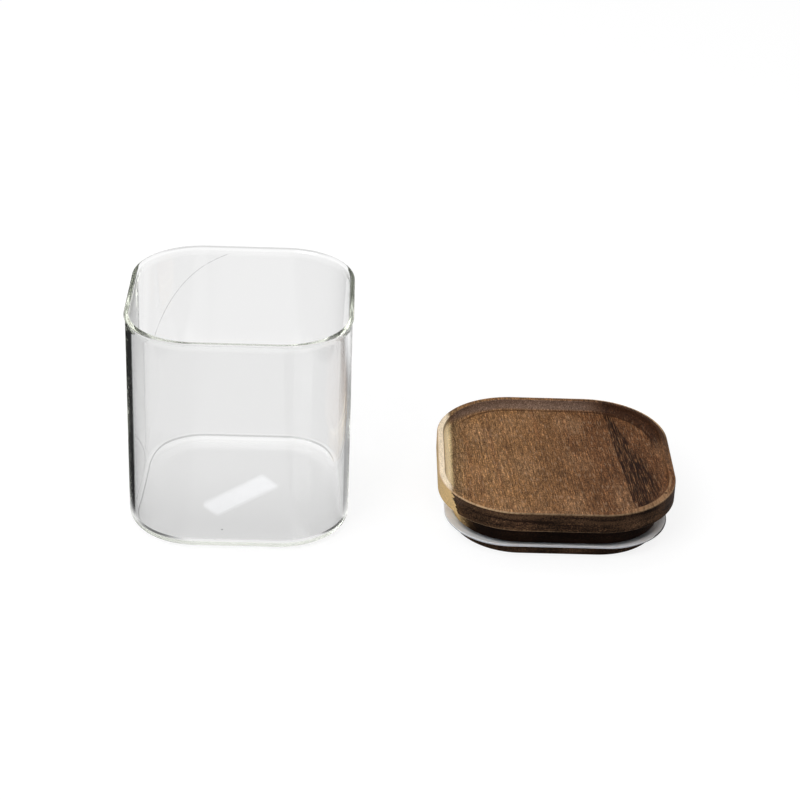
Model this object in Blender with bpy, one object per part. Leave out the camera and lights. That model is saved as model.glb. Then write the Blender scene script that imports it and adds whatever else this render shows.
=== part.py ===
"""Square glass storage jar with round corners, its wooden plug lid and the lid's silicone seal.

Metres, +Z up. The origin is the middle of the jar's base, on the table. The lid is off the jar
and stands on its foot beside it, to the +X side, with the seal in the groove of its plug.
Every solid is a stack of rounded squares: each outline is given by its half width, the radius
of its corners and its height, and neighbouring outlines are joined by a band of faces.
"""

import math

import bmesh
import bpy

# Jar, one glass vessel
BODY_WIDTH = 0.1000
BODY_CORNER_RADIUS = 0.0315
JAR_HEIGHT = 0.1035
WALL_THICKNESS = 0.0022
RIM_THICKNESS = 0.0023
LIP_HEIGHT = 0.0040
BASE_THICKNESS = 0.0024
BASE_OUTER_RADIUS = 0.0045
BASE_INNER_RADIUS = 0.0030
RIM_FLARE = 0.00055

# Lid, one piece of wood: a dished plate with a plug under it
LID_TO_JAR = 0.0403
PLATE_OVERHANG = 0.00425
PLATE_CORNER_EASE = 0.0012
PLATE_THICKNESS = 0.0095
PLATE_TOP_ARRIS = 0.0007
PLATE_UNDER_ARRIS = 0.0005
STACKING_CLEARANCE = 0.00125
COVE_RADIUS = 0.0040
PLUG_HEIGHT = 0.0160
PLUG_CLEARANCE = 0.0006
PLUG_CORNER_EASE = 0.0012
FOOT_ARRIS = 0.0008
GROOVE_FROM_FOOT = 0.0041
GROOVE_HEIGHT = 0.0020
GROOVE_DEPTH = 0.0025

# Seal, one flexible ring: a root in the groove and a fin that reaches past the plug
SEAL_GAP = 0.0003
SEAL_REACH = 0.0038
SEAL_FIN_THICKNESS = 0.0009
SEAL_FIN_RISE = 0.0016
SEAL_CORNER_FULLNESS = 0.0042

# Steps of the round stretches
CORNER_STEPS = 14
BEAD_STEPS = 5
FILLET_STEPS = 5
ARRIS_STEPS = 3

# Worked out from the sizes above
body_half = BODY_WIDTH / 2
bead_radius = RIM_THICKNESS / 2
mouth_half = body_half - WALL_THICKNESS
mouth_corner = BODY_CORNER_RADIUS - WALL_THICKNESS
plate_half = body_half + PLATE_OVERHANG
plate_corner = BODY_CORNER_RADIUS + PLATE_OVERHANG + PLATE_CORNER_EASE
plug_half = mouth_half - PLUG_CLEARANCE
plug_corner = mouth_corner - PLUG_CLEARANCE + PLUG_CORNER_EASE
lid_height = PLUG_HEIGHT + PLATE_THICKNESS
dish_half = body_half + STACKING_CLEARANCE
lid_x = body_half + RIM_FLARE + LID_TO_JAR + plate_half


def arc(middle, middle_z, radius, start, end, steps):
    """Points (across, z) of an arc. Angles in degrees: 0 points outwards and 90 points up."""
    points = []
    for step in range(steps + 1):
        angle = math.radians(start + (end - start) * step / steps)
        points.append((middle + radius * math.cos(angle), middle_z + radius * math.sin(angle)))
    return points


def outline(half, corner, z):
    """One rounded square at height z, as points that run anticlockwise."""
    middle = half - corner
    points = []
    for quarter in range(4):
        turn = quarter * math.pi / 2
        corner_x = middle * (math.cos(turn) - math.sin(turn))
        corner_y = middle * (math.sin(turn) + math.cos(turn))
        for step in range(CORNER_STEPS + 1):
            angle = turn + math.pi / 2 * step / CORNER_STEPS
            x = corner_x + corner * math.cos(angle)
            y = corner_y + corner * math.sin(angle)
            points.append((x, y, z))
    return points


def parallel(profile, half, corner):
    """Outlines through a profile, each one parallel to the rounded square of that half width."""
    return [outline(across, corner + across - half, z) for across, z in profile]


def stack(name, outlines, material, hollow_ring=False):
    """A closed solid through a list of outlines: capped at both ends, or joined end to start."""
    mesh = bpy.data.meshes.new(name)
    bm = bmesh.new()
    loops = [[bm.verts.new(point) for point in points] for points in outlines]
    pairs = list(zip(loops, loops[1:]))
    if hollow_ring:
        pairs.append((loops[-1], loops[0]))
    else:
        bm.faces.new(loops[0])
        bm.faces.new(loops[-1])
    for lower, upper in pairs:
        for index in range(len(lower)):
            after = (index + 1) % len(lower)
            bm.faces.new((lower[index], lower[after], upper[after], upper[index]))
    bmesh.ops.recalc_face_normals(bm, faces=bm.faces)
    bm.to_mesh(mesh)
    bm.free()
    mesh.shade_smooth()
    mesh.set_sharp_from_angle(angle=math.radians(32))
    mesh.materials.append(material)
    piece = bpy.data.objects.new(name, mesh)
    bpy.context.scene.collection.objects.link(piece)
    return piece


def finish(name, colour, roughness, transmission=0.0, ior=1.5):
    """A Principled material of one colour."""
    material = bpy.data.materials.new(name)
    material.use_nodes = True
    shader = material.node_tree.nodes["Principled BSDF"]
    shader.inputs["Base Color"].default_value = (*colour, 1.0)
    shader.inputs["Metallic"].default_value = 0.0
    shader.inputs["Roughness"].default_value = roughness
    shader.inputs["Transmission Weight"].default_value = transmission
    shader.inputs["IOR"].default_value = ior
    return material


def make_jar():
    """The vessel: flat base, rounded lower edge, upright wall and a round bead at the mouth.

    Just under the bead the wall leans out into a lip, so that the bead stands a little proud.
    """
    base_outer_middle = body_half - BASE_OUTER_RADIUS
    base_inner_middle = mouth_half - BASE_INNER_RADIUS
    base_inner_z = BASE_THICKNESS + BASE_INNER_RADIUS
    bead_middle = body_half + RIM_FLARE - bead_radius
    bead_z = JAR_HEIGHT - bead_radius
    bead_foot = -math.degrees(math.acos((body_half - bead_middle) / bead_radius))
    profile = arc(base_outer_middle, BASE_OUTER_RADIUS, BASE_OUTER_RADIUS, -90, 0, FILLET_STEPS)
    profile += arc(bead_middle, bead_z, bead_radius, bead_foot, 90, BEAD_STEPS)[:-1]
    profile += arc(bead_middle, bead_z, bead_radius, 90, 180, BEAD_STEPS)
    profile.append((mouth_half, JAR_HEIGHT - LIP_HEIGHT))
    profile += arc(base_inner_middle, base_inner_z, BASE_INNER_RADIUS, 0, -90, FILLET_STEPS)
    outlines = parallel(profile, body_half, BODY_CORNER_RADIUS)
    return stack("glass_jar", outlines, finish("clear_glass", (0.93, 0.95, 0.94), 0.02, 1.0, 1.47))


def make_lid():
    """Plug and plate from the foot up: foot, groove, neck, plate, land, cove and dish floor.

    The dish is a little wider than the jar's body, so that the base of a like jar stacks in it.
    """
    groove_floor = plug_half - GROOVE_DEPTH
    groove_top = GROOVE_FROM_FOOT + GROOVE_HEIGHT
    under_middle = plate_half - PLATE_UNDER_ARRIS
    under_z = PLUG_HEIGHT + PLATE_UNDER_ARRIS
    top_middle = plate_half - PLATE_TOP_ARRIS
    top_z = lid_height - PLATE_TOP_ARRIS
    plug = arc(plug_half - FOOT_ARRIS, FOOT_ARRIS, FOOT_ARRIS, -90, 0, ARRIS_STEPS)
    plug += [(plug_half, GROOVE_FROM_FOOT), (groove_floor, GROOVE_FROM_FOOT)]
    plug += [(groove_floor, groove_top), (plug_half, groove_top), (plug_half, PLUG_HEIGHT)]
    plate = arc(under_middle, under_z, PLATE_UNDER_ARRIS, -90, 0, ARRIS_STEPS)
    plate += arc(top_middle, top_z, PLATE_TOP_ARRIS, 0, 90, ARRIS_STEPS)
    plate += arc(dish_half - COVE_RADIUS, lid_height, COVE_RADIUS, 0, -90, FILLET_STEPS)
    outlines = parallel(plug, plug_half, plug_corner) + parallel(plate, plate_half, plate_corner)
    return stack("wooden_lid", outlines, finish("dark_wood", (0.19, 0.11, 0.06), 0.55))


def make_seal():
    """The ring's section: a root that fills the groove, and a fin that climbs to its tip."""
    root_half = plug_half - GROOVE_DEPTH + SEAL_GAP
    root_under = GROOVE_FROM_FOOT + SEAL_GAP
    root_top = GROOVE_FROM_FOOT + GROOVE_HEIGHT - SEAL_GAP
    tip_half = plug_half + SEAL_REACH
    tip_corner = plug_corner + SEAL_REACH - SEAL_CORNER_FULLNESS
    tip_under = root_under + SEAL_FIN_RISE
    upper_root = [(plug_half, root_top), (root_half, root_top)]
    lower_root = [(root_half, root_under), (plug_half, root_under)]
    outlines = parallel(upper_root + lower_root, plug_half, plug_corner)
    outlines.append(outline(tip_half, tip_corner, tip_under))
    outlines.append(outline(tip_half, tip_corner, tip_under + SEAL_FIN_THICKNESS))
    silicone = finish("clear_silicone", (0.62, 0.62, 0.60), 0.35)
    return stack("silicone_seal", outlines, silicone, hollow_ring=True)


def main():
    for old in list(bpy.data.objects):
        bpy.data.objects.remove(old, do_unlink=True)
    make_jar()
    lid_place = bpy.data.objects.new("lid_place", None)
    bpy.context.scene.collection.objects.link(lid_place)
    lid_place.location = (lid_x, 0, 0)
    for piece in (make_lid(), make_seal()):
        piece.parent = lid_place


main()
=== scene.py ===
"""Looks of the square glass storage jar, its dished wooden lid and the lid's silicone seal."""

import math
from types import SimpleNamespace

import bpy
from mathutils import Matrix, Vector


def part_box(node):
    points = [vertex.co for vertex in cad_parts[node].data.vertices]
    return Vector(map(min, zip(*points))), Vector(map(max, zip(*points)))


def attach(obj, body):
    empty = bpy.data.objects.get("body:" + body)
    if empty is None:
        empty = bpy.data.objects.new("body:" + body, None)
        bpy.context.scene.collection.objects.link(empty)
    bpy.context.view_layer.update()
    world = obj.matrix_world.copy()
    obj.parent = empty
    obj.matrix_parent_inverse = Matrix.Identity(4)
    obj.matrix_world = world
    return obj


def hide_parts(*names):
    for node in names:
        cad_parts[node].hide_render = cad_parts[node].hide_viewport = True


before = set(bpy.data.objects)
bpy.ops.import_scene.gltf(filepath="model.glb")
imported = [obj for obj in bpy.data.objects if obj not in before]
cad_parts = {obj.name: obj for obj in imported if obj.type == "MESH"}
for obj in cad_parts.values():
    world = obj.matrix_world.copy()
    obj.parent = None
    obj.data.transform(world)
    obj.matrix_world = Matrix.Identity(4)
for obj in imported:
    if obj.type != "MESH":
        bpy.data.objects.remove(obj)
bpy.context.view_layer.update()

MM = 0.001


def colour(red, green, blue):
    """A colour as it shows on a screen, 0 to 255, as the shader's own light levels."""
    levels = []
    for value in (red, green, blue):
        share = value / 255
        levels.append(share / 12.92 if share <= 0.04045 else ((share + 0.055) / 1.055) ** 2.4)
    return (*levels, 1.0)


# Jar
WALL = 0.0022
RIM = 0.0023
LIP = 0.0040
LIP_BLEND = LIP / 3
BASE = 0.0024
BODY_CORNER = 0.0315
RIM_FLARE = 0.00055
BASE_OUTER_RADIUS = 0.0045
BASE_INNER_RADIUS = 0.0030
BEAD_BLEND = 0.0006

# Lid
PLATE_THICKNESS = 0.0095
PLATE_TOP_ARRIS = 0.0007
PLATE_UNDER_ARRIS = 0.0005
LAND_WIDTH = 0.0030
LAND_INNER_ARRIS = 0.0004
COVE_RADIUS = 0.0040
PLUG_HALF = 0.0472
PLUG_CORNER = 0.0299
FOOT_ARRIS = 0.0008
GROOVE_ARRIS = 0.0002
GROOVE_LOW = 0.0041
GROOVE_HIGH = 0.0061
GROOVE_DEPTH = 0.0025

# Seal
SEAL_FIN = 0.0009
SEAL_EDGE = 0.0003
SEAL_CORNER_FULLNESS = 0.0042
SEAL_GAP = 0.0003

# Steps of the round stretches, the short faces that hold the flats flat, and sharp edges in degrees
CORNER_STEPS = 40
BEAD_STEPS = 36
COVE_STEPS = 16
BASE_OUTER_STEPS = 14
BASE_INNER_STEPS = 12
TOP_ARRIS_STEPS = 7
FOOT_ARRIS_STEPS = 6
SMALL_ARRIS_STEPS = 5
SEAL_EDGE_STEPS = 4
GROOVE_ARRIS_STEPS = 3
HOLD = 0.0005
MERGE_DISTANCE = MM / 1000
SHARP_ANGLE = 28
SEAL_SHARP_ANGLE = 40

# Glass, and its marks in millimetres from the middle of the jar's base
GLASS_IOR = 1.47
GLASS_DEPTH_TINT = (0.81, 0.85, 0.72, 1.0)
GLASS_DEPTH_DENSITY = 3.2
WALL_CLEARNESS = 0.945
# Colour of the scratch and specks, and of the painted shade on the bead and along the floor seam.
MARK_AND_SHADE = colour(90, 92, 90)
SCRATCH_MIDDLE = (14.6, 45.4)
SCRATCH_RADIUS = 59.7
SPECKS = (((-6.8, -36.1, 2.4), 0.6), ((-9.3, -46.2, 2.9), 0.6), ((-38.1, 39.7, 2.7), 0.8))

# Wood, and its figure in millimetres from the middle of the lid's foot
HEARTWOOD_LEFT = colour(134, 98, 63)
HEARTWOOD_RIGHT = colour(94, 62, 39)
HEARTWOOD_PALE = colour(136, 106, 78)
HEARTWOOD_RED = colour(100, 63, 38)
HEARTWOOD_OLIVE = colour(106, 84, 57)
STREAK = colour(32, 14, 6)
STREAK_THREAD = colour(124, 89, 60)
COVE_END_GRAIN = colour(118, 98, 86)
COVE_RED = colour(42, 22, 12)
END_GRAIN_DARK = colour(26, 14, 8)
END_GRAIN_LIGHT = colour(68, 49, 34)
# Painted shade on the plug's neck, under the plate.
NECK_PAINTED_SHADE = colour(12, 3, 1)
DASH = colour(168, 136, 108)
# Dark colour for pores, the nick, the darker land at the right and the dish's left edge line; also painted
# shade at the far cove's foot.
PORE_AND_SHADE = colour(58, 36, 22)
SAPWOOD = colour(255, 230, 184)
SAPWOOD_BORDER = colour(222, 194, 144)
SAPWOOD_LAND = colour(250, 230, 200)
# Sapwood on the side faces: a deeper tan, partly painted shade.
SAPWOOD_SIDE_AND_SHADE = colour(210, 178, 126)
# Rubbed arrises, lightened further by painted highlight.
WORN_EDGE_AND_HIGHLIGHT = colour(200, 166, 128)
STRIP = colour(162, 126, 92)
GRAIN_DRIFT = 0.07
STREAK_LEFT = 30.0
STREAK_LEAN = -0.088
SAPWOOD_EDGE = -48.9
SAPWOOD_LEAN = 0.33
NICK = (48.1, -33.5)
WOOD_GLOSS = 0.08
WOOD_RELIEF = 0.0003

# Silicone
SILICONE = colour(244, 249, 255)
SILICONE_DUSTY = colour(246, 234, 226)
# Painted shade on the seal's upright faces.
SILICONE_UPRIGHT_SHADE = colour(122, 128, 140)
# Painted shade by the seal's root in front, under the plate.
SILICONE_ROOT_SHADE = colour(102, 104, 108)
# Painted shade: the near-black line round the tip's right side.
SILICONE_OUTLINE_SHADE = colour(20, 21, 24)
SILICONE_GLOSS = 0.3
SILICONE_SCATTER = 0.004
SILICONE_RELIEF = 0.0001

# Studio
FLOOR_WIDTH = 8.0
FLOOR_GAP = 0.0002
FLOOR_OWN_LIGHT = 0.75
FLOOR_TO_EYE = 1.1
PAPER = (0.9, 0.9, 0.9, 1.0)
SEEN_THROUGH_GLASS = 0.955
AMBIENT = 0.40
CARD_TINT = (0.94, 0.95, 1.0, 1.0)
CARD_LIGHT = 2.0
CARD_CORNERS = (
    (-0.0447, 0.5, 0.3212),
    (-0.0006, 0.5, 0.2971),
    (-0.0563, 0.5, 0.3131),
    (-0.0122, 0.5, 0.2886),
)
LAMP_TARGET = (0.05, 0, 0)
OVERHEAD_PLACE = (-0.15, 0.15, 1.25)
OVERHEAD_WIDTH = 1.8
OVERHEAD_POWER = 9.5
FRONT_LEFT_PLACE = (-0.60, -0.80, 0.80)
FRONT_LEFT_WIDTH = 0.8
FRONT_LEFT_POWER = 7.0
CAMERA_PLACE = (0.0498613, -0.9130032, 0.5474944)
CAMERA_YAW = -0.0247610
CAMERA_PITCH = 0.4975658
CAMERA_ROLL = 0.0380021
CAMERA_FOCAL_PIXELS = 2271.1087
PHOTO_WIDTH = 800
SENSOR_WIDTH = 36.0
CLIP_START = 0.01
LIGHT_BOUNCES = 96

# Worked out from the frame and the sizes above
jar_low, jar_high = (Vector(corner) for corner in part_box("glass_jar"))
lid_low, lid_high = (Vector(corner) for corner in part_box("wooden_lid"))
seal_low, seal_high = (Vector(corner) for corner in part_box("silicone_seal"))
rim_half = (jar_high.x - jar_low.x) / 2
rim_top = jar_high.z
body_half = rim_half - RIM_FLARE
body_middle = body_half - BODY_CORNER
mouth_half = body_half - WALL
lip_low = rim_top - LIP
floor_round_top = BASE + BASE_INNER_RADIUS
bead_radius = RIM / 2
plate_half = (lid_high.x - lid_low.x) / 2
lid_x = (lid_high.x + lid_low.x) / 2
lid_top = lid_high.z
plate_under = lid_top - PLATE_THICKNESS
plug_middle = PLUG_HALF - PLUG_CORNER
dish_half = plate_half - LAND_WIDTH
dish_floor = lid_top - COVE_RADIUS
cove_foot = dish_half - COVE_RADIUS
tip_half = (seal_high.x - seal_low.x) / 2
tip_middle = plug_middle + SEAL_CORNER_FULLNESS


def spin(centre, axis, degrees, steps):
    """Turn what is selected on about an axis, right-handed, and keep the last copy selected."""
    bpy.ops.mesh.spin(steps=steps, angle=-math.radians(degrees), center=centre, axis=axis)


def start_section(name, across, middle, z):
    """Open a mesh with one vertex, where its section starts. The section stands at y = middle."""
    bpy.ops.object.select_all(action="DESELECT")
    bpy.ops.mesh.primitive_plane_add(size=MM, location=(across, middle, z))
    piece = bpy.context.object
    bpy.ops.object.transform_apply(location=True, rotation=False, scale=False)
    piece.name = name
    piece.data.name = name
    bpy.ops.object.mode_set(mode="EDIT")
    bpy.ops.mesh.merge(type="CENTER")
    return piece


def draw(*steps):
    """Draw the section on by straight moves (across, up)."""
    for across, up in steps:
        bpy.ops.mesh.extrude_region_move(TRANSFORM_OT_translate={"value": (across, 0, up)})


def ease(piece, across, z, radius, steps):
    """Round the section's corner at a place."""
    bpy.ops.mesh.select_all(action="DESELECT")
    bpy.ops.object.mode_set(mode="OBJECT")
    corner = min(piece.data.vertices, key=lambda v: math.hypot(v.co.x - across, v.co.z - z))
    corner.select = True
    bpy.ops.object.mode_set(mode="EDIT")
    bpy.ops.mesh.bevel(offset=radius, segments=steps, affect="VERTICES")


def carry_round(middle):
    """Carry the section round the square: a quarter turn at each corner, then a straight run."""
    bpy.ops.mesh.select_all(action="SELECT")
    for quarter in range(4):
        way_x = round(math.cos(quarter * math.pi / 2))
        way_y = round(math.sin(quarter * math.pi / 2))
        corner = ((way_x - way_y) * middle, (way_x + way_y) * middle, 0)
        spin(corner, (0, 0, 1), 90, CORNER_STEPS)
        for length in (HOLD, 2 * middle - 2 * HOLD, HOLD):
            run = (-way_x * length, -way_y * length, 0)
            bpy.ops.mesh.extrude_region_move(TRANSFORM_OT_translate={"value": run})
    bpy.ops.mesh.select_all(action="SELECT")
    bpy.ops.mesh.remove_doubles(threshold=MERGE_DISTANCE)


def close_up(piece, shift=0.0, sharp=SHARP_ANGLE):
    """Fill the flat ends, turn the faces out, move the piece along X and shade it smooth."""
    bpy.ops.mesh.select_all(action="SELECT")
    bpy.ops.mesh.fill_holes(sides=0)
    bpy.ops.mesh.select_all(action="SELECT")
    bpy.ops.mesh.normals_make_consistent(inside=False)
    bpy.ops.transform.translate(value=(shift, 0, 0))
    bpy.ops.object.mode_set(mode="OBJECT")
    bpy.ops.object.shade_smooth_by_angle(angle=math.radians(sharp))


def make_glass():
    """The jar's section from the base up the outside, over the bead and down the inside."""
    bead_across = rim_half - bead_radius
    bead_z = rim_top - bead_radius
    under = math.degrees(math.acos((body_half - bead_across) / bead_radius))
    foot_z = bead_z - bead_radius * math.sin(math.radians(under))
    flat = body_half - BASE_OUTER_RADIUS - 2 * HOLD
    piece = start_section("jar_glass", flat, body_middle, jar_low.z)
    draw((HOLD, 0), (body_half - flat - HOLD, 0))
    low = BASE_OUTER_RADIUS + HOLD
    high = foot_z - BEAD_BLEND - HOLD
    draw((0, low), (0, high - low), (0, foot_z - high))
    spin((bead_across, body_middle, bead_z), (0, -1, 0), under + 180, BEAD_STEPS)
    draw((mouth_half - rim_half + RIM, lip_low - bead_z))
    draw((0, floor_round_top + HOLD - lip_low))
    draw((0, -BASE_INNER_RADIUS - HOLD), (-BASE_INNER_RADIUS - HOLD, 0), (-HOLD, 0))
    ease(piece, body_half, jar_low.z, BASE_OUTER_RADIUS, BASE_OUTER_STEPS)
    ease(piece, body_half, foot_z, BEAD_BLEND, SMALL_ARRIS_STEPS)
    ease(piece, mouth_half, BASE, BASE_INNER_RADIUS, BASE_INNER_STEPS)
    ease(piece, mouth_half, lip_low, LIP_BLEND, SMALL_ARRIS_STEPS)
    carry_round(body_middle)
    close_up(piece)
    return piece


def make_wood():
    """The lid's section from the foot up: plug with its groove, plate, land, cove and floor."""
    piece = start_section("lid_wood", PLUG_HALF - 3 * FOOT_ARRIS, plug_middle, lid_low.z)
    draw((FOOT_ARRIS, 0), (2 * FOOT_ARRIS, 0), (0, 2 * FOOT_ARRIS), (0, GROOVE_LOW - 2 * FOOT_ARRIS))
    draw((-GROOVE_DEPTH, 0), (0, GROOVE_HIGH - GROOVE_LOW), (GROOVE_DEPTH, 0))
    draw((0, HOLD), (0, plate_under - GROOVE_HIGH - 2 * HOLD), (0, HOLD))
    draw((HOLD, 0), (plate_half - PLUG_HALF - HOLD, 0))
    draw((0, 2 * PLATE_UNDER_ARRIS), (0, PLATE_THICKNESS - 4 * PLATE_UNDER_ARRIS))
    draw((0, 2 * PLATE_UNDER_ARRIS), (-2 * PLATE_TOP_ARRIS, 0), (2 * PLATE_TOP_ARRIS - LAND_WIDTH, 0))
    spin((cove_foot, plug_middle, lid_top), (0, 1, 0), 90, COVE_STEPS)
    draw((-HOLD, 0), (-HOLD, 0))
    ease(piece, PLUG_HALF, lid_low.z, FOOT_ARRIS, FOOT_ARRIS_STEPS)
    ease(piece, PLUG_HALF, GROOVE_LOW, GROOVE_ARRIS, GROOVE_ARRIS_STEPS)
    ease(piece, PLUG_HALF, GROOVE_HIGH, GROOVE_ARRIS, GROOVE_ARRIS_STEPS)
    ease(piece, plate_half, plate_under, PLATE_UNDER_ARRIS, SMALL_ARRIS_STEPS)
    ease(piece, plate_half, lid_top, PLATE_TOP_ARRIS, TOP_ARRIS_STEPS)
    ease(piece, dish_half, lid_top, LAND_INNER_ARRIS, SMALL_ARRIS_STEPS)
    carry_round(plug_middle)
    close_up(piece, lid_x)
    return piece


def make_silicone():
    """The seal's section: a root in the groove and a fin that climbs to a round tip."""
    root = PLUG_HALF - GROOVE_DEPTH + SEAL_GAP
    low = seal_low.z
    piece = start_section("seal_silicone", root, plug_middle, low)
    reach = tip_half - PLUG_HALF
    climb = seal_high.z - SEAL_FIN - low
    draw((PLUG_HALF - root, 0), (reach / 2, climb / 2), (reach / 2, climb / 2), (0, SEAL_FIN))
    height = GROOVE_HIGH - SEAL_GAP - low
    fall = low + height - seal_high.z
    draw((-reach / 2, fall / 2), (-reach / 2, fall / 2))
    draw((root - PLUG_HALF, 0), (0, -height))
    bpy.ops.mesh.select_all(action="SELECT")
    bpy.ops.mesh.remove_doubles(threshold=MERGE_DISTANCE)
    ease(piece, tip_half, low + climb, SEAL_EDGE, SEAL_EDGE_STEPS)
    ease(piece, tip_half, seal_high.z, SEAL_EDGE, SEAL_EDGE_STEPS)
    carry_round(plug_middle)
    fill_corners(piece, reach)
    close_up(piece, lid_x, SEAL_SHARP_ANGLE)
    return piece


def fill_corners(piece, reach):
    """Draw the fin out at its corners, the more the nearer the tip."""
    bpy.ops.object.mode_set(mode="OBJECT")
    for vertex in piece.data.vertices:
        over_x = abs(vertex.co.x) - plug_middle
        over_y = abs(vertex.co.y) - plug_middle
        if over_x <= 0 or over_y <= 0:
            continue
        radius = math.hypot(over_x, over_y)
        share = max(0.0, (plug_middle + radius - PLUG_HALF) / reach)
        pull = SEAL_CORNER_FULLNESS * share
        vertex.co.x += math.copysign(pull * (1 - over_x / radius), vertex.co.x)
        vertex.co.y += math.copysign(pull * (1 - over_y / radius), vertex.co.y)
    bpy.ops.object.mode_set(mode="EDIT")


class Nodes:
    """A node tree, with one short call for each kind of node. Places are in millimetres."""

    def __init__(self, tree):
        self.tree = tree

    def node(self, kind, *inputs, **settings):
        """A new node. Each input is a number, a colour or another node's output."""
        node = self.tree.nodes.new("ShaderNode" + kind)
        for name, value in settings.items():
            setattr(node, name, value)
        for socket, value in zip(node.inputs, inputs):
            if isinstance(value, bpy.types.NodeSocket):
                self.tree.links.new(value, socket)
            elif value is not None:
                socket.default_value = value
        return node

    def math(self, operation, *values):
        return self.node("Math", *values, operation=operation).outputs[0]

    def product(self, first, *others):
        """Some numbers multiplied together."""
        result = first
        for value in others:
            result = self.math("MULTIPLY", result, value)
        return result

    def greatest(self, first, *others):
        """The greatest of some numbers."""
        result = first
        for value in others:
            result = self.math("MAXIMUM", result, value)
        return result

    def slope(self, value, start, end, low=0.0, high=1.0):
        """Goes smoothly from low to high as value goes from start to end."""
        ramp = self.node("MapRange", value, start, end, low, high, interpolation_type="SMOOTHSTEP")
        return ramp.outputs[0]

    def near(self, value, middle, outer, inner, most=1.0):
        """Goes from nothing at outer from the middle or further, to the most at inner or nearer."""
        distance = self.math("ABSOLUTE", self.math("SUBTRACT", value, middle))
        return self.slope(distance, outer, inner, 0.0, most)

    def swing(self, pattern, reach):
        """A pattern that runs from 0 to 1, made to swing to both sides of zero."""
        return self.math("MULTIPLY_ADD", pattern, reach, -reach / 2)

    def mix(self, share, low, high):
        """A number between two others."""
        return self.node("Mix", share, None, low, high, data_type="FLOAT").outputs[0]

    def tint(self, share, under, over):
        """A colour laid over another."""
        unused = [None] * 5
        return self.node("Mix", share, *unused, under, over, data_type="RGBA").outputs[2]

    def split(self, vector):
        return self.node("SeparateXYZ", vector).outputs

    def join(self, x, y, z):
        return self.node("CombineXYZ", x, y, z).outputs[0]

    def distance(self, place, spot):
        return self.node("VectorMath", place, spot, operation="DISTANCE").outputs[1]

    def noise(self, place, sizes, detail, seed=0.0):
        """Cloudy pattern whose patches are about as long as sizes along each axis."""
        scale = tuple(1 / size for size in sizes)
        spread = self.node("VectorMath", place, scale, (seed, seed, seed), operation="MULTIPLY_ADD")
        return self.node("TexNoise", spread.outputs[0], None, 1.0, detail).outputs[0]

    def across(self, x, y, middle):
        """How far out a place is, from the middle of a square and through its round corners."""
        squares = []
        for along in (x, y):
            over = self.math("MAXIMUM", self.math("SUBTRACT", self.math("ABSOLUTE", along), middle), 0.0)
            squares.append(self.math("MULTIPLY", over, over))
        return self.math("ADD", self.math("SQRT", self.math("ADD", *squares)), middle)

    def relief(self, shader, height, strength, depth):
        """Raise and sink the shader's surface by a pattern, at most depth high."""
        bump = self.node("Bump", strength)
        bump.inputs["Distance"].default_value = depth
        self.tree.links.new(height, bump.inputs["Height"])
        self.tree.links.new(bump.outputs[0], shader["Normal"])

    def millimetres(self, middle_x=0.0):
        """Place on the piece in millimetres, from its own middle."""
        place = self.node("TexCoord").outputs["Object"]
        offset = (-middle_x / MM, 0.0, 0.0)
        return self.node("VectorMath", place, (1 / MM,) * 3, offset, operation="MULTIPLY_ADD").outputs[0]

    def facing(self):
        """The way that the surface looks, as its parts along X, Y and Z."""
        return self.split(self.node("TexCoord").outputs["Normal"])


def new_material(name):
    """A material with its node helper and its Principled shader's inputs."""
    material = bpy.data.materials.new(name)
    material.use_nodes = True
    nodes = Nodes(material.node_tree)
    return material, nodes, material.node_tree.nodes["Principled BSDF"].inputs


def bead_shade_lines(nodes, y, z, across):
    """Painted shade on the bead's crown and outer shoulder, for the dark lines the bead shows by
    refraction; along the front and the far side only.
    """
    top = rim_top / MM
    body = body_half / MM
    crown = nodes.slope(z, top - 0.5, top - 0.2, 0.0, 0.40)
    shoulder = nodes.near(z, top - 0.8, 0.4, 0.1, 0.25)
    outside = nodes.slope(across, body, body + 0.1)
    front_or_far = nodes.slope(nodes.math("ABSOLUTE", y), 40.0, 47.0)
    return nodes.product(nodes.greatest(crown, nodes.product(shoulder, outside)), front_or_far)


def floor_seam_shade(nodes, x, y, z, across):
    """Painted shade along the line where the wall turns into the floor, for the dark line glass shows
    there; along the far side and at the left.
    """
    mouth = mouth_half / MM
    base = BASE / MM
    round_top = floor_round_top / MM
    seam_across = nodes.slope(y, 20.0, 40.0, mouth - 1.6, mouth - 0.5)
    line = nodes.near(across, seam_across, 0.35, 0.15)
    inside = nodes.slope(z, base - 0.4, base - 0.1)
    low = nodes.slope(z, round_top - 0.2, round_top - 0.6)
    far_side = nodes.slope(y, 22.0, 32.0)
    left_end = nodes.slope(x, -40.0, -44.0)
    return nodes.product(line, inside, low, nodes.greatest(far_side, left_end), 0.6)


def wall_scratch(nodes, place, x, y, z, across):
    """The long fine scratch: part of a circle on the far wall's inner face, in broken strokes."""
    mouth = mouth_half / MM
    lip = lip_low / MM
    middle_x, middle_z = SCRATCH_MIDDLE
    spot = nodes.join(nodes.math("SUBTRACT", x, middle_x), 0.0, nodes.math("SUBTRACT", z, middle_z))
    radius = nodes.node("VectorMath", spot, operation="LENGTH").outputs[1]
    line = nodes.near(radius, SCRATCH_RADIUS, 0.30, 0.10)
    inner_face = nodes.slope(across, mouth + 0.8, mouth + 0.6)
    low_end = nodes.slope(z, 57.0, 64.0)
    high_end = nodes.slope(z, lip + 1.5, lip)
    far_wall = nodes.slope(y, 24.0, 30.0)
    left_part = nodes.slope(x, 5.0, 0.0)
    strokes = nodes.slope(nodes.noise(place, (3, 3, 3), 2.0), 0.30, 0.50, 0.2, 0.5)
    return nodes.product(line, inner_face, low_end, high_end, far_wall, left_part, strokes)


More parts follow.
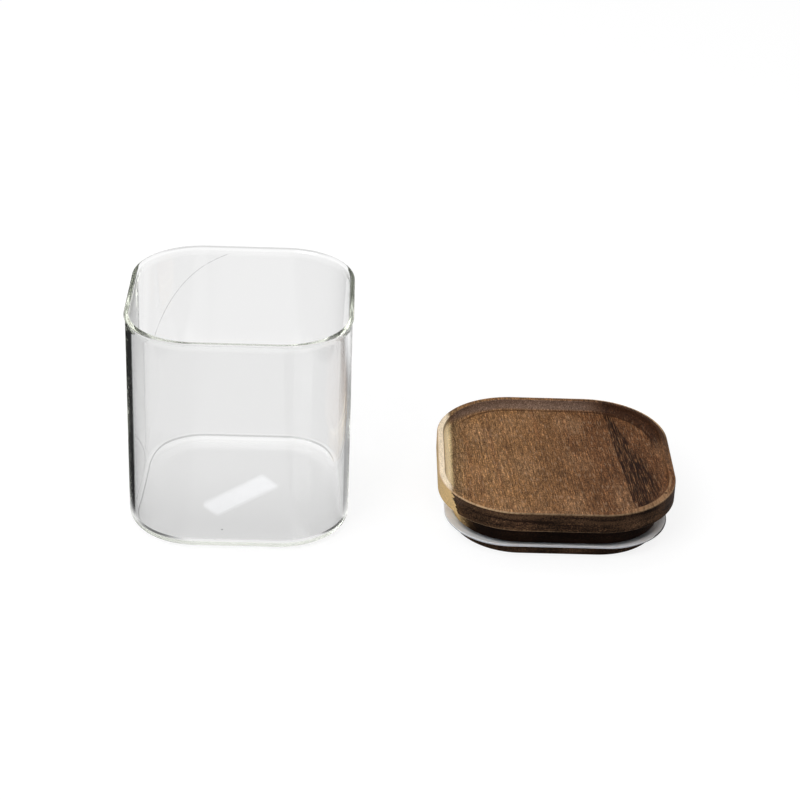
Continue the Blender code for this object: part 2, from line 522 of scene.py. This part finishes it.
def glass_material():
    """Clear glass, a little green where one looks along it, its wall slightly greyer than its lip.

    Its long fine scratch down the far wall and three specks darken it; painted shade darkens the bead's
    crown and outer shoulder and the line where the wall turns into the floor.
    """
    material, nodes, shader = new_material("clear_glass")
    place = nodes.millimetres()
    x, y, z = nodes.split(place)
    across = nodes.across(x, y, body_middle / MM)
    shader["Roughness"].default_value = 0.0
    shader["IOR"].default_value = GLASS_IOR
    shader["Transmission Weight"].default_value = 1.0

    # Painted shade along the line where the wall turns into the floor.
    seam_shade = floor_seam_shade(nodes, x, y, z, across)
    scratch = wall_scratch(nodes, place, x, y, z, across)
    # Painted shade on the bead, together with the real scratch and specks.
    marks_and_shade = nodes.greatest(bead_shade_lines(nodes, y, z, across), scratch, seam_shade)
    for spot, size in SPECKS:
        speck = nodes.slope(nodes.distance(place, spot), size, size / 2, 0.0, 0.9)
        marks_and_shade = nodes.greatest(marks_and_shade, speck)

    lip = lip_low / MM
    round_top = floor_round_top / MM
    clear_lip = nodes.slope(z, lip - 0.7, lip + 0.7, WALL_CLEARNESS, 1.0)
    clear_base = nodes.slope(z, round_top + 0.6, round_top - 1.4)
    clear = nodes.greatest(clear_lip, clear_base)
    tone = nodes.tint(marks_and_shade, nodes.join(clear, clear, clear), MARK_AND_SHADE)
    nodes.tree.links.new(tone, shader["Base Color"])
    absorption = nodes.node("VolumeAbsorption", GLASS_DEPTH_TINT, GLASS_DEPTH_DENSITY)
    output = nodes.tree.nodes["Material Output"]
    nodes.tree.links.new(absorption.outputs[0], output.inputs["Volume"])
    return material


def lid_faces(nodes):
    """A point's place on the lid and the lid's own lines, in millimetres, and its share of each face."""
    at = SimpleNamespace()
    at.place = nodes.millimetres(lid_x)
    at.x, at.y, at.z = nodes.split(at.place)
    at.across = nodes.across(at.x, at.y, plug_middle / MM)
    at.edge = plate_half / MM
    at.dish = dish_half / MM
    at.foot = cove_foot / MM
    at.top = lid_top / MM
    at.under = plate_under / MM
    at.groove_low = GROOVE_LOW / MM
    at.groove_high = GROOVE_HIGH / MM
    floor = dish_floor / MM
    facing = nodes.facing()
    to_front_or_far = nodes.math("ABSOLUTE", facing[1])
    at.plug = nodes.slope(at.z, at.under + 0.4, at.under - 0.2)
    above_groove = nodes.slope(at.z, at.groove_low - 0.1, at.groove_high + 0.4)
    at.neck = nodes.product(at.plug, above_groove)
    outer = nodes.greatest(nodes.slope(at.across, at.dish + 0.35, at.dish + 1.15), at.plug)
    at.side = nodes.product(nodes.slope(facing[2], 0.75, 0.25), outer)
    at.cut_side = nodes.product(nodes.slope(to_front_or_far, 0.25, 0.80), outer)
    at.level = nodes.slope(facing[2], 0.5, 0.9)
    at.cove = nodes.slope(at.across, at.foot - 0.45, at.foot + 0.15)
    at.cove = nodes.product(at.cove, nodes.slope(at.z, floor - 0.5, floor - 0.2))
    at.cut_cove = nodes.product(nodes.slope(to_front_or_far, 0.15, 0.60), at.cove)
    return at


def grain_patterns(nodes, at):
    """The wood's patterns. The grain runs along Y and drifts a little to +X on its way to the front."""
    drift = nodes.math("MULTIPLY_ADD", at.y, GRAIN_DRIFT, at.x)
    along = nodes.join(drift, at.y, at.z)
    return SimpleNamespace(
        clouds=nodes.noise(along, (16, 30, 16), 3.0),
        bands=nodes.noise(along, (4.0, 90, 4.0), 2.0, 4.0),
        strands=nodes.noise(along, (0.9, 22, 0.9), 2.0, 2.0),
        threads=nodes.noise(along, (0.50, 9.0, 0.50), 1.0, 41.0),
        fibres=nodes.noise(along, (0.45, 4.5, 0.45), 2.0, 9.0),
        dashes=nodes.noise(along, (0.55, 5.0, 0.55), 0.0, 31.0),
        flecks=nodes.noise(along, (0.40, 1.0, 0.40), 1.0, 17.0),
        rings=nodes.noise(at.place, (30, 30, 1.6), 2.0, 23.0),
        speckle=nodes.noise(at.place, (0.45, 0.45, 0.35), 1.0, 37.0),
        wander=nodes.noise(at.place, (3.0, 12, 1.2), 3.0, 7.0),
    )


def streak_share(nodes, at, strands):
    """The near-black streak right of the middle: hard at its left edge, fading out to the right.

    It starts thin at the far side, is widest a little in front of the middle, and frays in front.
    """
    left_edge = nodes.math("MULTIPLY_ADD", at.y, STREAK_LEAN, STREAK_LEFT)
    from_left = nodes.math("SUBTRACT", at.x, left_edge)
    widening = nodes.slope(at.y, 47.0, -16.0, 5.0, 17.0)
    narrowing = nodes.slope(at.y, -20.0, -42.0, 0.0, -4.5)
    width = nodes.math("ADD", widening, narrowing)
    from_right = nodes.math("SUBTRACT", width, from_left)
    left_part = nodes.product(from_left, nodes.slope(at.y, -26.0, -42.0, 0.75, 0.14))
    right_part = nodes.product(from_right, nodes.slope(at.y, 8.0, 36.0, 0.16, 0.42))
    depth = nodes.math("MINIMUM", nodes.math("MINIMUM", left_part, right_part), 0.75)
    ragged = nodes.math("ADD", depth, nodes.swing(strands, 2.4))
    return nodes.slope(ragged, 0.10, 0.80)


def heartwood(nodes, at, grain, streak):
    """Brown heartwood, lighter to the left, and the streak with its light threads."""
    tone = nodes.tint(nodes.slope(at.x, -45.0, 38.0), HEARTWOOD_LEFT, HEARTWOOD_RIGHT)
    tone = nodes.tint(nodes.slope(grain.clouds, 0.42, 0.66, 0.0, 0.35), tone, HEARTWOOD_PALE)
    tone = nodes.tint(nodes.slope(grain.bands, 0.50, 0.70, 0.0, 0.4), tone, HEARTWOOD_RED)
    tone = nodes.tint(streak, tone, STREAK)
    threads = nodes.product(streak, nodes.slope(grain.threads, 0.50, 0.66, 0.0, 0.62))
    return nodes.tint(threads, tone, STREAK_THREAD)


def lay_end_grain(nodes, at, grain, tone):
    """End grain: greyer in the cove's far and front runs, and dark round the outside; the plug's neck
    under the plate gets painted shade.

    The cove also turns dark red towards its far right corner.
    """
    grey_cove = nodes.product(at.cut_cove, nodes.slope(at.x, 14.0, 32.0, 0.8, 0.1))
    tone = nodes.tint(grey_cove, tone, COVE_END_GRAIN)
    to_right = nodes.slope(at.x, 16.0, 32.0, 0.0, 0.80)
    to_far_side = nodes.slope(at.y, 4.0, 24.0)
    tone = nodes.tint(nodes.product(to_right, to_far_side, at.cove), tone, COVE_RED)
    light_rings = nodes.slope(nodes.mix(0.5, grain.rings, grain.speckle), 0.40, 0.58)
    # Painted shade on the plug's neck: fainter rings there, then near black.
    light_rings = nodes.product(light_rings, nodes.mix(at.neck, 1.0, 0.25))
    end_grain = nodes.tint(light_rings, END_GRAIN_DARK, END_GRAIN_LIGHT)
    end_grain = nodes.tint(nodes.product(at.neck, 0.6), end_grain, NECK_PAINTED_SHADE)
    outside = nodes.greatest(at.cut_side, nodes.product(at.side, 0.85))
    return nodes.tint(outside, tone, end_grain)


def lay_sapwood(nodes, at, grain, heart):
    """Cream sapwood along the left edge, over the heartwood; also gives the sapwood's share.

    Its border leans inwards down the plate's side, and fades out softly on the plug's neck. On the side
    faces its tan is deeper, partly its own and partly painted shade.
    """
    depth = nodes.math("SUBTRACT", at.top, at.z)
    border = nodes.math("MULTIPLY_ADD", depth, SAPWOOD_LEAN, SAPWOOD_EDGE)
    border = nodes.math("MULTIPLY_ADD", at.plug, 2.0, border)
    inside = nodes.math("SUBTRACT", border, at.x)
    wander = nodes.product(nodes.swing(grain.wander, 1.0), nodes.mix(at.side, 1.5, 4.0))
    softness = nodes.math("ADD", nodes.mix(at.side, 1.3, 0.35), nodes.product(at.plug, 4.0))
    share = nodes.math("DIVIDE", nodes.math("ADD", inside, wander), softness)
    share = nodes.math("POWER", nodes.slope(share, -1.0, 1.0), nodes.mix(at.plug, 1.0, 2.6))
    share = nodes.product(share, nodes.slope(at.z, at.groove_low - 0.5, at.groove_high + 0.4))
    sap = nodes.tint(nodes.slope(inside, -0.5, 2.0), SAPWOOD_BORDER, SAPWOOD)
    sap = nodes.tint(nodes.slope(at.across, at.dish - 0.35, at.dish + 0.35), sap, SAPWOOD_LAND)
    # Side faces: deeper tan, partly painted shade.
    sap = nodes.tint(at.side, sap, SAPWOOD_SIDE_AND_SHADE)
    beside = nodes.product(nodes.slope(inside, -7.5, -1.0), at.level, 0.75)
    heart = nodes.tint(beside, heart, HEARTWOOD_OLIVE)
    return nodes.tint(share, heart, sap), share


def lay_grain(nodes, at, grain, streak, sapwood, tone):
    """Fine light and dark of the grain over a tone, and light dashes on the level faces."""
    weight = nodes.product(nodes.mix(sapwood, 1.0, 0.22), nodes.mix(at.cut_cove, 1.0, 0.65))
    octaves = nodes.math("ADD", nodes.swing(grain.fibres, 4.2), nodes.swing(grain.flecks, 4.4))
    octaves = nodes.math("ADD", octaves, nodes.swing(grain.strands, 2.2))
    clouds = nodes.product(nodes.swing(grain.clouds, 1.0), nodes.mix(at.side, 0.8, 3.5))
    octaves = nodes.math("ADD", octaves, clouds)
    brightness = nodes.math("POWER", 2.0, nodes.product(octaves, weight))
    tone = nodes.node("VectorMath", tone, None, None, brightness, operation="SCALE").outputs[0]
    dashes = nodes.slope(grain.dashes, 0.64, 0.74, 0.0, 0.42)
    fewer_in_streak = nodes.mix(streak, 1.0, 0.3)
    fewer_in_cove = nodes.slope(at.across, at.foot - 0.45, at.foot + 0.35, 1.0, 0.4)
    dashes = nodes.product(dashes, at.level, fewer_in_streak, fewer_in_cove)
    return nodes.tint(dashes, tone, DASH)


def worn_and_highlit_arrises(nodes, at, strands):
    """Where the plate's arrises are light, partly rubbed and partly painted highlight: most at the left
    and at the far right corner.
    """
    upper = nodes.slope(at.across, at.edge - 0.65, at.edge - 0.30)
    upper = nodes.product(upper, nodes.slope(at.z, at.top - 0.75, at.top - 0.50))
    upper = nodes.product(upper, nodes.slope(at.x, -38.0, -8.0, 0.85, 0.30))
    lower = nodes.slope(at.across, at.edge - 0.65, at.edge - 0.25)
    lower = nodes.product(lower, nodes.slope(at.z, at.under + 0.5, at.under + 0.2))
    lower = nodes.product(lower, nodes.slope(at.x, -10.0, 25.0, 0.45, 0.10))
    less_at_far_side = nodes.slope(at.y, 45.0, 52.0, 1.0, 0.35)
    worn_and_highlight = nodes.product(nodes.greatest(upper, lower), less_at_far_side)
    corner = nodes.slope(at.across, at.edge - 1.45, at.edge - 0.85)
    corner = nodes.product(corner, nodes.slope(at.z, at.top - 0.9, at.top - 0.6))
    corner = nodes.product(corner, nodes.slope(at.x, 4.0, 22.0, 0.0, 0.9), nodes.slope(at.y, 14.0, 32.0))
    return nodes.product(nodes.greatest(worn_and_highlight, corner), nodes.slope(strands, 0.30, 0.60, 0.45, 1.0))


def mark_land(nodes, at, grain, tone):
    """The land's marks: darker at the right, two rough light strips and a nick at its front right."""
    darker = nodes.slope(at.across, at.dish - 1.25, at.dish - 0.25)
    darker = nodes.product(darker, nodes.slope(at.x, 38.0, 46.0, 0.0, 0.45))
    darker = nodes.product(darker, nodes.slope(at.y, -12.0, 4.0), at.level)
    tone = nodes.tint(darker, tone, PORE_AND_SHADE)
    outer_strip = nodes.slope(at.across, at.dish - 0.25, at.dish + 0.55)
    outer_strip = nodes.product(outer_strip, nodes.slope(at.x, 22.0, 42.0))
    outer_strip = nodes.product(outer_strip, nodes.slope(at.y, -30.0, -35.0, 0.0, 0.75))
    inner_strip = nodes.slope(at.across, at.dish - 0.55, at.dish - 0.05)
    inner_strip = nodes.product(inner_strip, nodes.slope(at.across, at.dish + 1.55, at.dish + 0.75))
    inner_strip = nodes.product(inner_strip, nodes.slope(at.y, -14.0, -22.0))
    inner_strip = nodes.product(inner_strip, nodes.slope(at.x, 36.0, 42.0), 0.65)
    rough = nodes.product(nodes.slope(grain.strands, 0.25, 0.55, 0.35, 1.0), at.level)
    rough = nodes.product(rough, nodes.slope(grain.fibres, 0.20, 0.55, 0.4, 1.0))
    tone = nodes.tint(nodes.product(nodes.greatest(outer_strip, inner_strip), rough), tone, STRIP)
    nick = nodes.distance(at.place, (*NICK, at.top))
    return nodes.tint(nodes.slope(nick, 0.9, 0.4), tone, PORE_AND_SHADE)


def draw_dish_lines_and_foot_shade(nodes, at, tone):
    """Dark lines along the dish's left edge, and painted shade along the foot of its far cove."""
    edge = nodes.near(at.across, at.dish - 0.1, 0.4, 0.1, 0.5)
    tone = nodes.tint(nodes.product(edge, nodes.slope(at.x, -44.0, -50.0)), tone, PORE_AND_SHADE)
    # Painted shade in the crease at the foot of the far cove.
    foot = nodes.near(at.across, at.foot + 0.15, 1.1, 0.2)
    to_far_side = nodes.slope(at.y, 20.0, 46.0, 0.0, 0.7)
    return nodes.tint(nodes.product(foot, to_far_side, at.cove), tone, PORE_AND_SHADE)


def wood_material():
    """Dark open-grained heartwood with a near-black streak, and cream sapwood on the left."""
    material, nodes, shader = new_material("dark_wood")
    at = lid_faces(nodes)
    grain = grain_patterns(nodes, at)
    streak = streak_share(nodes, at, grain.strands)
    tone = heartwood(nodes, at, grain, streak)
    tone = lay_end_grain(nodes, at, grain, tone)
    tone, sapwood = lay_sapwood(nodes, at, grain, tone)
    tone = lay_grain(nodes, at, grain, streak, sapwood, tone)
    tone = mark_land(nodes, at, grain, tone)
    worn_and_highlight = worn_and_highlit_arrises(nodes, at, grain.strands)
    # Rubbed arrises with painted highlight along them.
    tone = nodes.tint(worn_and_highlight, tone, WORN_EDGE_AND_HIGHLIGHT)
    tone = draw_dish_lines_and_foot_shade(nodes, at, tone)
    nodes.tree.links.new(tone, shader["Base Color"])

    rough = nodes.math("MULTIPLY_ADD", grain.fibres, 0.20, 0.45)
    rough = nodes.math("MULTIPLY_ADD", worn_and_highlight, -0.12, rough)
    nodes.tree.links.new(rough, shader["Roughness"])
    shader["Specular IOR Level"].default_value = WOOD_GLOSS
    height = nodes.math("MULTIPLY_ADD", grain.flecks, 0.8, grain.fibres)
    height = nodes.math("MULTIPLY_ADD", grain.strands, 0.5, height)
    nodes.relief(shader, height, 0.5, WOOD_RELIEF)
    return material


def silicone_material():
    """Milky translucent silicone, dusty, warmer to the right, and with painted shade by its root in front.

    Its upright faces get painted shade, and a near-black line of painted shade runs round its right side.
    """
    material, nodes, shader = new_material("clear_silicone")
    place = nodes.millimetres(lid_x)
    x, y, z = nodes.split(place)
    dust = nodes.noise(place, (6, 6, 1.5), 4.0)
    tone = nodes.tint(nodes.slope(dust, 0.40, 0.75, 0.0, 0.6), SILICONE, SILICONE_DUSTY)
    tone = nodes.tint(nodes.slope(x, 20.0, 52.0, 0.0, 0.7), tone, SILICONE_DUSTY)

    across = nodes.across(x, y, plug_middle / MM)
    plug = PLUG_HALF / MM
    # Painted shade by the root in front, under the plate's overhang.
    root_start = nodes.slope(x, 10.0, 40.0, plug + 2.8, plug + 3.6)
    root_end = nodes.slope(x, 10.0, 40.0, plug + 0.4, plug + 1.2)
    root = nodes.product(nodes.slope(across, root_start, root_end), nodes.slope(y, -22.0, -40.0, 0.0, 0.8))
    tone = nodes.tint(root, tone, SILICONE_ROOT_SHADE)

    # Painted shade on the upright faces.
    upright = nodes.slope(nodes.math("ABSOLUTE", nodes.facing()[2]), 0.6, 0.3, 0.0, 0.7)
    tone = nodes.tint(upright, tone, SILICONE_UPRIGHT_SHADE)

    # Painted shade: a near-black line at the tip's edge on the right, for the dark that its face shows.
    tip = tip_half / MM
    top = seal_high.z / MM
    dark_outline_shade = nodes.slope(nodes.across(x, y, tip_middle / MM), tip - 0.55, tip - 0.25)
    over_outline = nodes.math("SUBTRACT", z, nodes.slope(y, -46.0, -36.0, top - 0.5, top + 0.2))
    to_right = nodes.slope(x, 26.0, 38.0, 0.0, 0.95)
    dark_outline_shade = nodes.product(dark_outline_shade, nodes.slope(over_outline, 0.1, -0.1), to_right)
    tone = nodes.tint(dark_outline_shade, tone, SILICONE_OUTLINE_SHADE)
    nodes.tree.links.new(tone, shader["Base Color"])

    nodes.tree.links.new(nodes.math("MULTIPLY_ADD", dust, 0.25, 0.30), shader["Roughness"])
    shader["Subsurface Weight"].default_value = 1.0
    shader["Subsurface Radius"].default_value = (1.0, 1.0, 1.0)
    shader["Subsurface Scale"].default_value = SILICONE_SCATTER
    shader["Specular IOR Level"].default_value = SILICONE_GLOSS
    nodes.relief(shader, nodes.noise(place, (0.5, 0.5, 0.5), 2.0, 3.0), 0.15, SILICONE_RELIEF)
    return material


def by_ray(nodes, path, hidden, through, mirrored, eye=1.0):
    """One of four levels: for light's own rays, through glass, in a mirror, or for the eye."""
    level = nodes.mix(path["Is Transmission Ray"], hidden, through)
    level = nodes.mix(path["Glossy Depth"], level, mirrored)
    return nodes.mix(path["Is Camera Ray"], level, eye)


def mirrored_paper(nodes, x, y):
    """How bright glass mirrors the paper: dark at the left and in front, dim at the jar's right."""
    level = nodes.slope(x, -58.0, -50.0, 0.02, 0.88)
    level = nodes.product(level, nodes.slope(y, -70.0, -56.0, 0.45, 1.0))
    level = nodes.product(level, nodes.slope(y, 32.0, 48.0, 1.0, 1.15))
    left_corner = nodes.product(nodes.slope(x, -20.0, -36.0), nodes.slope(y, -25.0, -38.0), 0.8)
    right_corner = nodes.product(nodes.slope(x, 38.0, 44.0), nodes.slope(y, -18.0, -26.0), 0.9)
    right_side = nodes.product(nodes.slope(x, 50.0, 60.0), nodes.slope(y, 135.0, 85.0), 0.55)
    dark = nodes.greatest(left_corner, right_corner, right_side)
    return nodes.product(level, nodes.math("SUBTRACT", 1.0, dark))


def paper_under_glass(nodes, x, y):
    """How bright paper shows through glass: lighter to the far side, most by the base's far edge."""
    across = nodes.across(x, y, body_middle / MM)
    band = nodes.product(nodes.slope(across, 36.0, 42.0), nodes.slope(y, 0.0, 36.0))
    band = nodes.product(band, nodes.slope(across, 57.0, 54.5), nodes.slope(x, -45.0, -15.0, 0.3, 1.0))
    level = nodes.slope(y, -50.0, 30.0, 0.80, 0.975)
    level = nodes.product(level, nodes.slope(y, 50.0, 60.0, 1.0, 1.026))
    level = nodes.product(level, nodes.math("MULTIPLY_ADD", band, 0.13, 1.0))
    return nodes.product(level, nodes.slope(y, 257.0, 264.0, SEEN_THROUGH_GLASS, 1.02))


def make_floor():
    """Pale paper: white to the eye, and with levels of its own where glass shows or mirrors it."""
    bpy.ops.object.select_all(action="DESELECT")
    bpy.ops.mesh.primitive_plane_add(size=FLOOR_WIDTH, location=(0, 0, -FLOOR_GAP))
    floor = bpy.context.object
    floor.name = "floor"
    material = bpy.data.materials.new("floor_paper")
    material.use_nodes = True
    nodes = Nodes(material.node_tree)
    path = nodes.node("LightPath").outputs
    x, y = nodes.split(nodes.millimetres())[:2]
    through = paper_under_glass(nodes, x, y)
    level = by_ray(nodes, path, 0.0, through, mirrored_paper(nodes, x, y), FLOOR_TO_EYE)
    to_eye = nodes.product(path["Is Camera Ray"], FLOOR_OWN_LIGHT)
    own_light = nodes.greatest(path["Is Transmission Ray"], path["Glossy Depth"], to_eye)
    own_light = nodes.math("MINIMUM", own_light, 1.0)
    paper = nodes.node("BsdfDiffuse", PAPER).outputs[0]
    glow = nodes.node("Emission", None, level).outputs[0]
    surface = nodes.node("MixShader", own_light, paper, glow).outputs[0]
    nodes.tree.links.new(surface, nodes.tree.nodes["Material Output"].inputs["Surface"])
    floor.data.materials.append(material)


def make_world():
    """Soft light from all round: white to the eye, and darker towards the top through glass."""
    world = bpy.data.worlds.new("studio")
    bpy.context.scene.world = world
    world.use_nodes = True
    nodes = Nodes(world.node_tree)
    path = nodes.node("LightPath").outputs
    way = nodes.split(nodes.node("TexCoord").outputs["Generated"])
    high = nodes.slope(nodes.math("ABSOLUTE", way[0]), 0.25, 0.70, 0.46, 0.88)
    mirrored = nodes.mix(nodes.slope(way[2], 0.10, 0.35), 0.62, high)
    through = nodes.slope(way[2], 0.05, 0.45, SEEN_THROUGH_GLASS, 0.25)
    level = by_ray(nodes, path, AMBIENT, through, mirrored)
    backdrop = nodes.tree.nodes["Background"].inputs
    backdrop["Color"].default_value = (1.0, 1.0, 1.0, 1.0)
    nodes.tree.links.new(level, backdrop["Strength"])


def make_card():
    """A bright strip behind the jar, which shows only as a glint on the jar's floor."""
    bpy.ops.object.select_all(action="DESELECT")
    bpy.ops.mesh.primitive_plane_add(size=1.0)
    card = bpy.context.object
    card.name = "card"
    for vertex, place in zip(card.data.vertices, CARD_CORNERS):
        vertex.co = place
    material = bpy.data.materials.new("card_light")
    material.use_nodes = True
    nodes = Nodes(material.node_tree)
    glow = nodes.node("Emission", CARD_TINT, CARD_LIGHT).outputs[0]
    nodes.tree.links.new(glow, nodes.tree.nodes["Material Output"].inputs["Surface"])
    card.data.materials.append(material)
    card.visible_camera = False
    card.visible_diffuse = False
    card.visible_glossy = False
    card.visible_shadow = False


def add_lamp(name, place, size, power):
    """A square soft lamp aimed at the pieces. Its light falls on them, but its shape never shows."""
    data = bpy.data.lights.new(name, "AREA")
    data.size = size
    data.energy = power
    lamp = bpy.data.objects.new(name, data)
    bpy.context.scene.collection.objects.link(lamp)
    lamp.location = place
    lamp.rotation_euler = (Vector(LAMP_TARGET) - Vector(place)).to_track_quat("-Z", "Y").to_euler()
    lamp.visible_glossy = False


def add_camera():
    """The photograph's camera, worked out from the lines of the rim, the base and the lid."""
    side, forward = math.sin(CAMERA_YAW), math.cos(CAMERA_YAW)
    ahead = Vector((
        -side * math.cos(CAMERA_PITCH),
        forward * math.cos(CAMERA_PITCH),
        -math.sin(CAMERA_PITCH),
    ))
    level = Vector((forward, side, 0))
    upright = level.cross(ahead)
    across = math.cos(CAMERA_ROLL) * level + math.sin(CAMERA_ROLL) * upright
    over = -math.sin(CAMERA_ROLL) * level + math.cos(CAMERA_ROLL) * upright
    data = bpy.data.cameras.new("camera")
    data.lens = SENSOR_WIDTH * CAMERA_FOCAL_PIXELS / PHOTO_WIDTH
    data.clip_start = CLIP_START
    camera = bpy.data.objects.new("camera", data)
    bpy.context.scene.collection.objects.link(camera)
    turned = Matrix((across, over, -ahead)).transposed().to_4x4()
    camera.matrix_world = Matrix.Translation(CAMERA_PLACE) @ turned
    bpy.context.scene.camera = camera


add_camera()
make_floor()
make_world()
make_card()
add_lamp("overhead", OVERHEAD_PLACE, OVERHEAD_WIDTH, OVERHEAD_POWER)
add_lamp("front_left", FRONT_LEFT_PLACE, FRONT_LEFT_WIDTH, FRONT_LEFT_POWER)

glass = make_glass()
wood = make_wood()
silicone = make_silicone()
glass.data.materials.append(glass_material())
wood.data.materials.append(wood_material())
silicone.data.materials.append(silicone_material())
for piece, body, node, slot in (
    (glass, "jar", "glass_jar", "glass"),
    (wood, "lid", "wooden_lid", "wood"),
    (silicone, "lid", "silicone_seal", "silicone"),
):
    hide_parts(node)
    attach(piece, body)

scene = bpy.context.scene
scene.view_settings.view_transform = "Standard"
scene.cycles.max_bounces = LIGHT_BOUNCES
scene.cycles.glossy_bounces = LIGHT_BOUNCES
scene.cycles.transmission_bounces = LIGHT_BOUNCES
